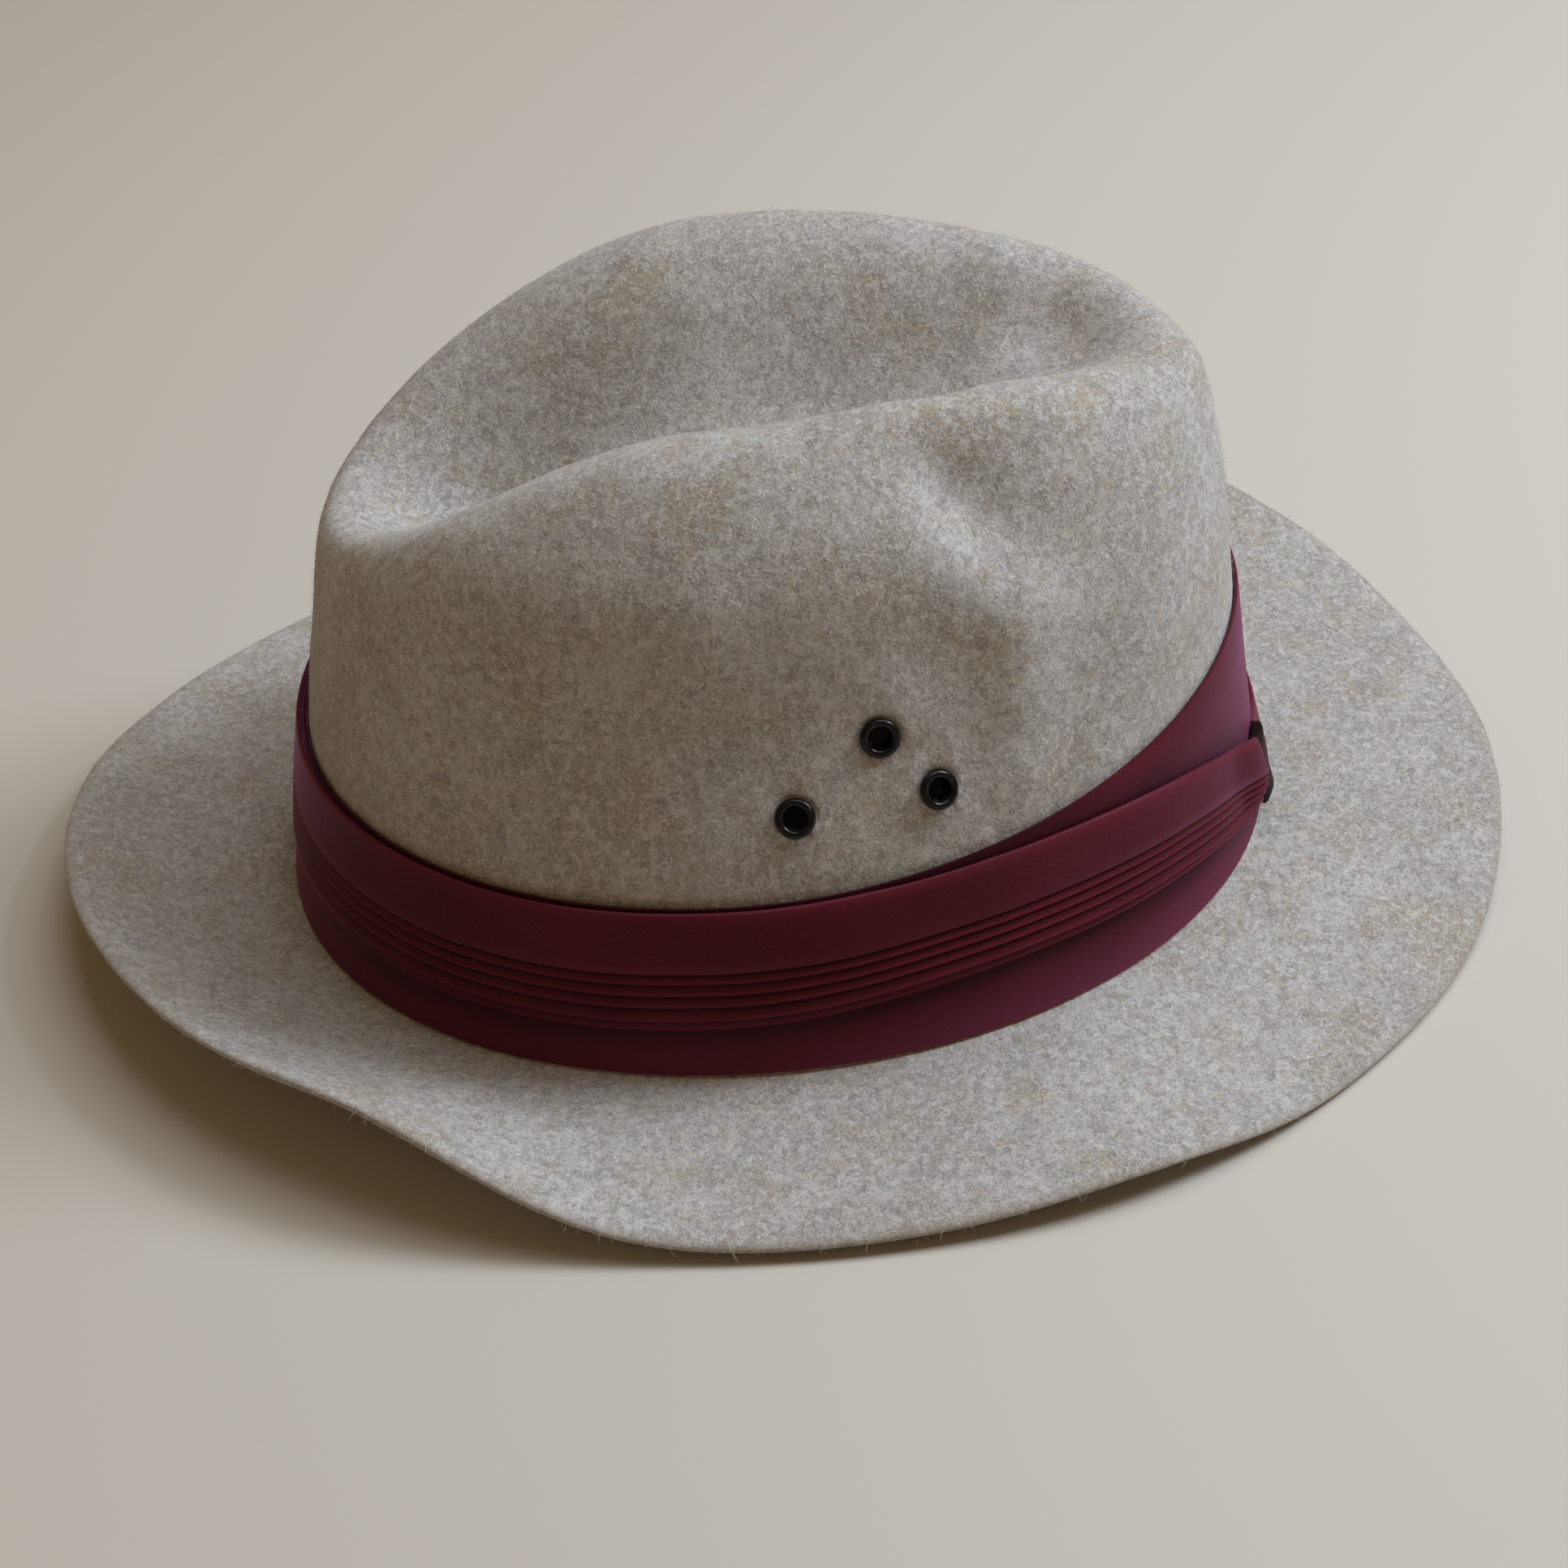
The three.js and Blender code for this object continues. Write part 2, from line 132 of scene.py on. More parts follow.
def copy_of(node: str, name: str) -> Piece:
    """Copies a solid of the frame into a new piece, with its loose triangles merged.

    Args:
        node: Name of the solid.
        name: Name of the new piece.

    Returns:
        The new piece, whose mesh is mostly quads.
    """
    piece = new_piece(name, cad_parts[node].data.copy())
    piece.data.name = name
    piece.data.materials.clear()
    take(piece)
    with editing("SELECT"):
        bpy.ops.mesh.remove_doubles(threshold=MERGE)
        bpy.ops.mesh.tris_convert_to_quads(face_threshold=QUAD_BEND, shape_threshold=QUAD_SKEW)
        bpy.ops.mesh.customdata_custom_splitnormals_clear()
    return piece


def modify(piece: Piece, kind: str, **settings: object) -> None:
    """Adds a modifier to a piece and applies it at once.

    Args:
        piece: The object to work on.
        kind: Type of the modifier.
        **settings: Values of the modifier's own fields.
    """
    take(piece)
    modifier = piece.modifiers.new(kind.title(), kind)
    for key, value in settings.items():
        setattr(modifier, key, value)
    bpy.ops.object.modifier_apply(modifier=modifier.name)


def refine(piece: Piece, levels: int) -> None:
    """Subdivides a piece smoothly, splitting each face as many times as levels says."""
    modify(piece, "SUBSURF", levels=levels, render_levels=levels)


def crease_folds(piece: Piece, sharpness: float, above: float) -> None:
    """Keeps the folds of a piece crisp when it is subdivided.

    Args:
        piece: The object to work on.
        sharpness: Crease weight from 0 to 1.
        above: Angle in degrees past which an edge counts as a fold.
    """
    take(piece)
    with editing("DESELECT"):
        bpy.ops.mesh.select_mode(type="EDGE")
        bpy.ops.mesh.edges_select_sharp(sharpness=math.radians(above))
        bpy.ops.transform.edge_crease(value=sharpness)
        bpy.ops.mesh.select_mode(type="VERT")


def pick(piece: Piece, chosen: np.ndarray) -> None:
    """Selects some of a piece's vertices, ready for edit mode.

    Args:
        piece: The object to work on.
        chosen: True for each vertex to select.
    """
    take(piece)
    with editing("DESELECT"):
        bpy.ops.mesh.select_mode(type="VERT")
    piece.data.vertices.foreach_set("select", chosen)


def read(items: bpy.types.bpy_prop_collection, field: str, kind: type = np.int32) -> np.ndarray:
    """Reads one field of every item as one flat array.

    Args:
        items: Vertices, edges, corners or faces of a mesh.
        field: Name of the field.
        kind: Type of its numbers.

    Returns:
        The numbers, item after item.
    """
    width = getattr(items[0], field)
    flat = np.empty(len(items) * (len(width) if hasattr(width, "__len__") else 1), kind)
    items.foreach_get(field, flat)
    return flat


def points_of(piece: Piece) -> np.ndarray:
    """Reads a piece's vertices: one row of X, Y and Z in metres for each."""
    return read(piece.data.vertices, "co", np.float32).reshape(-1, 3).astype(float)


def apart_from(piece: Piece, nodes: tuple[str, ...]) -> np.ndarray:
    """Measures how far each vertex is from some of the frame's solids.

    Args:
        piece: The object to read.
        nodes: Names of the solids.

    Returns:
        One distance for each vertex.
    """
    corners, faces = [], []
    for node in nodes:
        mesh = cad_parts[node].data
        start = len(corners)
        corners += [vertex.co.copy() for vertex in mesh.vertices]
        faces += [[start + index for index in face.vertices] for face in mesh.polygons]
    tree = BVHTree.FromPolygons(corners, faces)
    return np.array([tree.find_nearest(Vector(place))[3] for place in points_of(piece)])


def add_mask(piece: Piece, name: str, values: np.ndarray) -> None:
    """Stores one number for each vertex under a name, for a material to read."""
    layer = piece.data.attributes.new(name, "FLOAT", "POINT")
    layer.data.foreach_set("value", values.astype(np.float32))


def bends_of(piece: Piece, size: float, passes: int = 2) -> np.ndarray:
    """Measures how a surface bends at each vertex.

    Args:
        piece: The object to read.
        size: Radius of a bend that counts as full, in metres.
        passes: How many times the measure is spread to the vertices beside.

    Returns:
        From -1 on a sharp ridge to 1 in a sharp valley.
    """
    mesh = piece.data
    places = points_of(piece)
    normals = read(mesh.vertex_normals, "vector", np.float32).reshape(-1, 3)
    pairs = read(mesh.edges, "vertices").reshape(-1, 2)
    first, second = np.concatenate([pairs, pairs[:, ::-1]]).T
    step = places[second] - places[first]
    length = np.maximum((step * step).sum(1), NEAR_ZERO)
    bend = 2 * (normals[first] * step).sum(1) / length
    count = np.maximum(np.bincount(first, minlength=len(places)), 1)
    total = np.bincount(first, bend, minlength=len(places)) / count * size
    for _ in range(passes):
        beside = np.bincount(first, total[second], minlength=len(places)) / count
        total = 0.5 * total + 0.5 * beside
    return np.clip(total, -1, 1)


def add_weights(piece: Piece, name: str, weights: np.ndarray) -> None:
    """Stores vertex weights, for a modifier to read.

    Args:
        piece: The object to write to.
        name: Name of the vertex group.
        weights: One weight for each vertex.
    """
    made = piece.vertex_groups.new(name=name)
    steps = np.round(np.clip(weights, 0, 1) * WEIGHT_STEPS).astype(int)
    for step in np.unique(steps):
        made.add(np.nonzero(steps == step)[0].tolist(), float(step) / WEIGHT_STEPS, "REPLACE")


def roughen(piece: Piece, scale: float, height: float, weights: str = "") -> None:
    """Moves a piece's surface in and out in soft lumps.

    Args:
        piece: The object to work on.
        scale: Size of the lumps in metres.
        height: Full height of the lumps in metres.
        weights: Vertex group that limits the lumps, or nothing.
    """
    texture = bpy.data.textures.new(f"{piece.name}_lumps", "CLOUDS")
    texture.noise_scale = scale
    texture.noise_depth = 2
    modify(
        piece, "DISPLACE", texture=texture, texture_coords="LOCAL",
        strength=height, mid_level=0.5, vertex_group=weights,
    )
    bpy.data.textures.remove(texture)


def shade(piece: Piece, angle: float = 180) -> None:
    """Shades a piece smoothly, with edges sharper than an angle in degrees kept hard."""
    take(piece)
    if angle >= 180:
        bpy.ops.object.shade_smooth()
    else:
        bpy.ops.object.shade_smooth_by_angle(angle=math.radians(angle))


def dress_piece(piece: Piece, material: Material, nodes: tuple[str, ...]) -> None:
    """Dresses a piece and joins it to the frame.

    Args:
        piece: The finished object.
        material: What it wears.
        nodes: Solids that it stands for.
    """
    piece.data.materials.clear()
    piece.data.materials.append(material)
    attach(piece, "root")
    if nodes:
        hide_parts(*nodes)
    LOG.info("%s: %d faces", piece.name, len(piece.data.polygons))


def wrap_map(piece: Piece, radius: float) -> None:
    """Gives a piece that goes round the crown a UV map in metres: round the head, then up.

    Args:
        piece: The object to map.
        radius: Radius that turns an angle into a length.
    """
    places = points_of(piece)
    turn = np.arctan2(places[:, 0], -places[:, 1])
    mesh = piece.data
    corner = read(mesh.loops, "vertex_index")
    starts = read(mesh.polygons, "loop_start")
    around = turn[corner]
    first = np.repeat(around[starts], read(mesh.polygons, "loop_total"))
    around = around - 2 * math.pi * np.round((around - first) / (2 * math.pi))
    uv = np.stack([around * radius, places[corner, 2]], 1).astype(np.float32)
    layer = mesh.uv_layers.new(name="cloth")
    layer.data.foreach_set("uv", uv.ravel())


# ---------------------------------------------------------------- shader parts


class Nodes:
    """Short ways to place and link the nodes of one tree."""

    def __init__(self, tree: NodeTree) -> None:
        """Starts on a node tree."""
        self.tree = tree

    def add(self, kind: str, fed: Fed | None = None, **settings: object) -> Node:
        """Places a node.

        Args:
            kind: Type of the node. ShaderNode is put before a name that has no Node in it.
            fed: What goes into its inputs: a socket to link, or a plain value.
            **settings: Values of the node's own fields.

        Returns:
            The new node.
        """
        node = self.tree.nodes.new(kind if "Node" in kind else f"ShaderNode{kind}")
        for key, value in settings.items():
            setattr(node, key, value)
        for label, source in (fed or {}).items():
            self.feed(node.inputs[label], source)
        return node

    def feed(self, socket: Socket, source: object) -> None:
        """Links an output to a socket, or sets the socket to a plain value.

        Args:
            socket: The input.
            source: A socket, or a plain value.
        """
        if isinstance(source, Socket):
            self.tree.links.new(source, socket)
        else:
            socket.default_value = source

    def math(self, operation: str, a: object, b: object = 0.0) -> Socket:
        """Works on one or two numbers."""
        return self.add("Math", {0: a, 1: b}, operation=operation).outputs[0]

    def times(self, a: object, b: object) -> Socket:
        """Multiplies two numbers."""
        return self.math("MULTIPLY", a, b)

    def vector(self, operation: str, a: object, b: object = (0.0, 0.0, 0.0)) -> Socket:
        """Works on one or two vectors."""
        return self.add("VectorMath", {0: a, 1: b}, operation=operation).outputs[0]

    def ramp(
        self, value: object, low: float, high: float, start: float = 0.0, end: float = 1.0
    ) -> Socket:
        """Turns the range from low to high of a number smoothly into start to end."""
        fed = dict(enumerate((value, low, high, start, end)))
        return self.add("MapRange", fed, interpolation_type="SMOOTHSTEP").outputs[0]

    def noise(
        self, place: object, scale: float, detail: float = 2.0, roughness: float = 0.5
    ) -> Socket:
        """Soft random values from 0 to 1, in so many lumps to a metre."""
        fed = {"Vector": place, "Scale": scale, "Detail": detail, "Roughness": roughness}
        return self.add("TexNoise", fed).outputs["Fac"]

    def mask(self, name: str) -> Socket:
        """Reads one of the piece's masks."""
        return self.add("Attribute", attribute_name=name).outputs["Fac"]

    def mix(self, share: object, a: object, b: object) -> Socket:
        """Mixes so much of the second colour into the first."""
        return self.add("Mix", {"Factor": share, 6: a, 7: b}, data_type="RGBA").outputs[2]

    def bump(
        self, height: object, strength: float, distance: float, under: Socket | None = None
    ) -> Socket:
        """Turns a height into a normal.

        Args:
            height: The height, from 0 to 1.
            strength: How much of it shows.
            distance: Height of 1 in metres.
            under: Normal to add to, if any.

        Returns:
            The normal.
        """
        fed = {"Strength": strength, "Distance": distance, "Height": height}
        if under is not None:
            fed["Normal"] = under
        return self.add("Bump", fed).outputs[0]


def new_group(
    name: str, inputs: dict[str, tuple[str, object]], outputs: tuple[str, str]
) -> tuple[Nodes, Node, Node]:
    """Starts a shader node group.

    Args:
        name: Name of the group.
        inputs: Kind and value of each input, by name.
        outputs: Names of the outputs, which are numbers.

    Returns:
        The group's nodes, its input node and its output node.
    """
    tree = bpy.data.node_groups.new(name, "ShaderNodeTree")
    for label, (kind, value) in inputs.items():
        socket = tree.interface.new_socket(label, in_out="INPUT", socket_type=f"NodeSocket{kind}")
        if value is not None:
            socket.default_value = value
    for label in outputs:
        tree.interface.new_socket(label, in_out="OUTPUT", socket_type="NodeSocketFloat")
    work = Nodes(tree)
    return work, work.add("NodeGroupInput"), work.add("NodeGroupOutput")


def fibre_group() -> NodeTree:
    """Short straight fibres that lie every way through a surface.

    Returns:
        A group that turns a place and a scale into a fibre mask and a random tint for each fibre.
    """
    inputs = {"Vector": ("Vector", None), "Scale": ("Float", 900.0), "Width": ("Float", 0.1)}
    work, entry, leave = new_group("loose_fibres", inputs, ("Mask", "Tint"))
    sized = {0: entry.outputs["Vector"], "Scale": entry.outputs["Scale"]}
    place = work.add("VectorMath", sized, operation="SCALE").outputs[0]
    cells = work.add("TexVoronoi", {"Vector": place, "Scale": 1.0}, feature="F1")
    lie = work.vector("NORMALIZE", work.vector("SUBTRACT", cells.outputs["Color"], (0.5, 0.5, 0.5)))
    away = work.vector("SUBTRACT", place, cells.outputs["Position"])
    across = work.vector("CROSS_PRODUCT", away, lie)
    distance = work.add("VectorMath", {0: across}, operation="LENGTH").outputs[1]
    mask = work.math("SUBTRACT", 1.0, work.math("DIVIDE", distance, entry.outputs["Width"]))
    tint = work.add("SeparateColor", {0: cells.outputs["Color"]})
    work.feed(leave.inputs["Mask"], work.math("MAXIMUM", mask, 0.0))
    work.feed(leave.inputs["Tint"], tint.outputs[0])
    return work.tree


def weave_group() -> NodeTree:
    """Fine sateen threads on a cloth's own map, with slubs.

    Returns:
        A group that turns a map in metres into a thread height and an unevenness.
    """
    inputs = {"Vector": ("Vector", None), "Threads": ("Float", 2600.0)}
    work, entry, leave = new_group("sateen_threads", inputs, ("Height", "Slub"))
    cloth, threads = entry.outputs["Vector"], entry.outputs["Threads"]
    along, across = work.add("SeparateXYZ", {0: cloth}).outputs[:2]
    warp = work.math("SINE", work.times(along, threads))
    rows = work.times(threads, 4.0)
    weft = work.math("SINE", work.math("ADD", work.times(across, rows), work.times(warp, 1.2)))
    height = work.math("ADD", work.times(warp, 0.25), work.times(weft, 0.25))
    stretched = work.vector("MULTIPLY", cloth, (700.0, 2600.0, 1.0))
    work.feed(leave.inputs["Height"], work.math("ADD", height, 0.5))
    work.feed(leave.inputs["Slub"], work.noise(stretched, 1.0, 3.0, 0.6))
    return work.tree


class Effects:
    """Node groups that more than one finish uses, built once."""

    def __init__(self) -> None:
        """Builds the groups."""
        self.fibre_tree = fibre_group()
        self.weave_tree = weave_group()

    def fibres(self, work: Nodes, place: Socket, scale: float, width: float) -> Node:
        """Places the fibres, so many to a metre, at a width given as a share of their spacing."""
        fed = {"Vector": place, "Scale": scale, "Width": width}
        return work.add("Group", fed, node_tree=self.fibre_tree)

    def weave(self, work: Nodes, cloth: Socket) -> Node:
        """Places the weave on a cloth's own map."""
        return work.add("Group", {"Vector": cloth}, node_tree=self.weave_tree)


def blank_material(name: str, plain: Plain) -> tuple[Material, Nodes, Node]:
    """Starts a material with one Principled shader.

    Args:
        name: Name of the material.
        plain: What is the same all over the surface: names of the shader's sockets, and values.

    Returns:
        The material, its nodes and its shader.
    """
    material = bpy.data.materials.new(name)
    material.use_nodes = True
    shader = material.node_tree.nodes["Principled BSDF"]
    for label, value in plain:
        shader.inputs[label].default_value = value
    return material, Nodes(material.node_tree), shader


@dataclass(frozen=True)
class Heather:
    """One dyed wool in the felt's blend: its colour, its wisps' size and how much of it shows."""

    colour: Colour
    per_metre: float
    low: float
    high: float
    share: float


@dataclass(frozen=True)
class FeltFinish:
    """Heathered wool felt: pale wool with grey, brown, ochre and white fibres pressed into it."""

    pale: Colour = (0.468, 0.455, 0.437, 1)
    oat: Colour = (0.368, 0.347, 0.318, 1)
    edge: Colour = (0.30, 0.25, 0.19, 1)
    plain: Plain = (
        ("Roughness", 0.95),
        ("Specular IOR Level", 0.15),
        ("Sheen Weight", 0.25),
        ("Sheen Roughness", 0.6),
        ("Sheen Tint", (0.97, 0.96, 0.95, 1)),
    )
    curls: tuple[Pair, ...] = ((260.0, 1.4 * MM), (900.0, 0.5 * MM))
    cloud_scale: float = 45.0
    cloud_range: Values = (0.36, 0.66, 0.1, 0.8)
    tuft: Values = (330.0, 3.0, 0.65)
    grain: Values = (1900.0, 3.0, 0.7)
    wisp_detail: Pair = (1.5, 0.6)
    wisp_shift: Values = (0.11, 0.07, 0.0)
    strand_shift: Values = (0.13, 0.05, 0.0)
    strand_width: float = 0.09
    hair_scale: float = 700.0
    hair_width: float = 0.16
    hair_rise: float = 0.6
    edge_share: float = 0.5
    tuft_bump: Pair = (0.45, 0.5 * MM)
    hair_bump: Pair = (0.5, 0.25 * MM)
    wisps: tuple[Heather, ...] = (
        Heather((0.36, 0.285, 0.185, 1), 60, 0.48, 0.70, 0.50),
        Heather((0.24, 0.225, 0.215, 1), 150, 0.50, 0.70, 0.30),
        Heather((0.26, 0.20, 0.175, 1), 300, 0.50, 0.68, 0.42),
        Heather((0.38, 0.30, 0.16, 1), 240, 0.58, 0.72, 0.40),
        Heather((0.20, 0.195, 0.20, 1), 620, 0.46, 0.66, 0.44),
        Heather((0.64, 0.635, 0.63, 1), 540, 0.48, 0.66, 0.44),
        Heather((0.15, 0.14, 0.14, 1), 1700, 0.50, 0.68, 0.42),
        Heather((0.69, 0.685, 0.68, 1), 2100, 0.50, 0.68, 0.48),
    )
    strands: tuple[Heather, ...] = (
        Heather((0.14, 0.13, 0.13, 1), 520, 0.0, 0.35, 0.45),
        Heather((0.80, 0.79, 0.78, 1), 340, 0.55, 1.0, 0.60),
        Heather((0.78, 0.77, 0.76, 1), 850, 0.55, 1.0, 0.50),
    )

    def build(self, effects: Effects) -> Material:
        """Builds the material.

        Args:
            effects: The shared node groups.

        Returns:
            The material. It reads the attribute cut_edge.
        """
        material, work, shader = blank_material("heather_felt", self.plain)
        wool = work.add("TexCoord").outputs["Object"]
        for per_metre, far in self.curls:
            wool = self.wander(work, wool, per_metre, far)
        clouds = work.noise(wool, self.cloud_scale)
        tufts = work.noise(wool, *self.tuft)
        grain = work.noise(wool, *self.grain)
        colour = work.mix(work.ramp(clouds, *self.cloud_range), self.pale, self.oat)
        for number, wisp in enumerate(self.wisps):
            shift = tuple(number * part for part in self.wisp_shift)
            shifted = work.vector("ADD", wool, shift)
            lumps = work.noise(shifted, wisp.per_metre, *self.wisp_detail)
            seen = work.ramp(lumps, wisp.low, wisp.high, 0.0, wisp.share)
            colour = work.mix(seen, colour, wisp.colour)
        for number, strand in enumerate(self.strands):
            shift = tuple(number * part for part in self.strand_shift)
            shifted = work.vector("ADD", wool, shift)
            fibre = effects.fibres(work, shifted, strand.per_metre, self.strand_width)
            lower = work.math("GREATER_THAN", fibre.outputs["Tint"], strand.low)
            upper = work.math("LESS_THAN", fibre.outputs["Tint"], strand.high)
            seen = work.times(fibre.outputs["Mask"], work.times(lower, upper))
            colour = work.mix(work.times(seen, strand.share), colour, strand.colour)
        rim = work.times(work.mask("cut_edge"), self.edge_share)
        work.feed(shader.inputs["Base Color"], work.mix(rim, colour, self.edge))
        hair = effects.fibres(work, wool, self.hair_scale, self.hair_width)
        hairs = work.math("ADD", grain, work.times(hair.outputs["Mask"], self.hair_rise))
        soft = work.bump(tufts, *self.tuft_bump)
        work.feed(shader.inputs["Normal"], work.bump(hairs, *self.hair_bump, soft))
        return material

    @staticmethod
    def wander(work: Nodes, place: Socket, per_metre: float, far: float) -> Socket:
        """Bends coordinates, so that fibres curl.

        Args:
            work: The material's nodes.
            place: The coordinates.
            per_metre: Bends in a metre.
            far: How far they bend, in metres.

        Returns:
            The bent coordinates.
        """
        drift = work.add("TexNoise", {"Vector": place, "Scale": per_metre}).outputs["Color"]
        fed = {0: drift, 1: (far, far, far), 2: place}
        return work.add("VectorMath", fed, operation="MULTIPLY_ADD").outputs[0]


@dataclass(frozen=True)
class SateenFinish:
    """Cotton sateen with a soft sheen and fine threads, painted shade in its fold valleys, lighter
    fold ridges and a painted highlight on the band's foot.
    """

    name: str
    deep: Colour
    raised: Colour
    # Painted shade for the valleys of folds.
    valley: Colour
    # Lighter colour for the ridges of folds.
    ridge_tint: Colour
    # Painted highlight for the band's flared foot.
    foot_highlight: Colour
    sheen: Colour
    sheen_weight: float = 0.45
    plain: Plain = (("Sheen Roughness", 0.35), ("Specular IOR Level", 0.1))
    roughness: Pair = (0.45, 0.56)
    slub_range: Pair = (0.3, 0.7)
    slub_share: float = 0.7
    cloud_scale: float = 35.0
    cloud_range: Values = (0.35, 0.7, 0.0, 0.3)
    valley_shade_range: Values = (0.08, 0.6, 0.0, 0.72)
    ridge_tint_range: Values = (-0.1, -0.8, 0.0, 0.5)
    foot_highlight_share: float = 0.85
    cloud_bump: Pair = (0.25, 0.8 * MM)
    thread_bump: Pair = (0.15, 0.05 * MM)
    slub_bump: Pair = (0.2, 0.1 * MM)

    def build(self, effects: Effects) -> Material:
        """Builds the material.

        Args:
            effects: The shared node groups.

        Returns:
            The material. It reads the map named cloth, the attribute fold for painted shade in
            valleys and lighter ridges, and the attribute foot for a painted highlight.
        """
        shine = (("Sheen Weight", self.sheen_weight), ("Sheen Tint", self.sheen))
        material, work, shader = blank_material(self.name, self.plain + shine)
        cloth = work.add("UVMap", uv_map="cloth").outputs[0]
        threads = effects.weave(work, cloth)
        slub = threads.outputs["Slub"]
        cloudy = work.noise(cloth, self.cloud_scale, 3.0)
        share = work.ramp(slub, *self.slub_range, 0.0, self.slub_share)
        share = work.math("ADD", share, work.ramp(cloudy, *self.cloud_range))
        colour = work.mix(share, self.deep, self.raised)
        fold = work.mask("fold")
        # Painted shade: darker in the valleys of folds, where shade falls.
        colour = work.mix(work.ramp(fold, *self.valley_shade_range), colour, self.valley)
        # Lighter on the ridges of folds.
        colour = work.mix(work.ramp(fold, *self.ridge_tint_range), colour, self.ridge_tint)
        # Painted highlight: the band's foot lighter and more purple, where light falls on its
        # flare.
        foot = work.times(work.mask("foot"), self.foot_highlight_share)
        work.feed(shader.inputs["Base Color"], work.mix(foot, colour, self.foot_highlight))
        work.feed(shader.inputs["Roughness"], work.ramp(slub, *self.slub_range, *self.roughness))
        soft = work.bump(cloudy, *self.cloud_bump)
        fine = work.bump(threads.outputs["Height"], *self.thread_bump, soft)
        work.feed(shader.inputs["Normal"], work.bump(slub, *self.slub_bump, fine))
        return material


@dataclass(frozen=True)
class LacquerFinish:
    """Glossy black lacquer on pressed metal, with light scuffs."""

    black: Colour = (0.004, 0.004, 0.005, 1)
    dusty: Colour = (0.020, 0.018, 0.017, 1)
    roughness: Pair = (0.22, 0.5)
    plain: Plain = (("Specular IOR Level", 0.28),)
    dust_scale: float = 900.0
    dust_range: Pair = (0.55, 0.75)
    dust_bump: Pair = (0.15, 0.05 * MM)
    scuff_scale: float = 600.0
    scuff_width: float = 0.08
    scuff_share: float = 0.5

    def build(self, effects: Effects) -> Material:
        """Builds the material.

        Args:
            effects: The shared node groups.

        Returns:
            The material.
        """
        material, work, shader = blank_material("black_lacquer", self.plain)
        place = work.add("TexCoord").outputs["Object"]
        dust = work.ramp(work.noise(place, self.dust_scale, 3.0), *self.dust_range)
        scuff = effects.fibres(work, place, self.scuff_scale, self.scuff_width).outputs["Mask"]
        worn = work.math("MAXIMUM", dust, work.times(scuff, self.scuff_share))
        work.feed(shader.inputs["Base Color"], work.mix(worn, self.black, self.dusty))
        work.feed(shader.inputs["Roughness"], work.ramp(worn, 0.0, 1.0, *self.roughness))
        work.feed(shader.inputs["Normal"], work.bump(dust, *self.dust_bump))
        return material


@dataclass(frozen=True)
class StrandFinish:
    """One dyed tint of loose wool fibre."""

    name: str
    tint: Colour
    plain: Plain = (("Roughness", 0.8), ("Sheen Weight", 0.3), ("Specular IOR Level", 0.2))

    def build(self) -> Material:
        """Builds the material, which is one tint because a fibre is."""
        return blank_material(self.name, (("Base Color", self.tint), *self.plain))[0]


# ---------------------------------------------------------------- sub-assemblies


@dataclass(frozen=True)
class Press:
    """A soft push of the hand on cloth or felt: where, how far in and how wide, in millimetres."""

    at: Triple
    push: float
    radius: float
    connected: bool = False

    def apply(self, piece: Piece) -> None:
        """Presses both faces of a piece together at one place.

        Args:
            piece: The piece to press.
        """
        spot = Vector(self.at) * MM
        apart = np.linalg.norm(points_of(piece) - np.array(spot), axis=1)
        nearest = int(np.argmin(apart))
        normal = piece.closest_point_on_mesh(spot)[2]
        chosen = np.zeros(len(piece.data.vertices), bool)
        chosen[nearest] = True
        pick(piece, chosen)
        with editing():
            bpy.ops.transform.translate(
                value=tuple(normal * (-self.push * MM)),
                orient_type="GLOBAL",
                use_proportional_edit=True,
                use_proportional_connected=self.connected,
                proportional_edit_falloff="SMOOTH",
                proportional_size=self.radius * MM,
            )


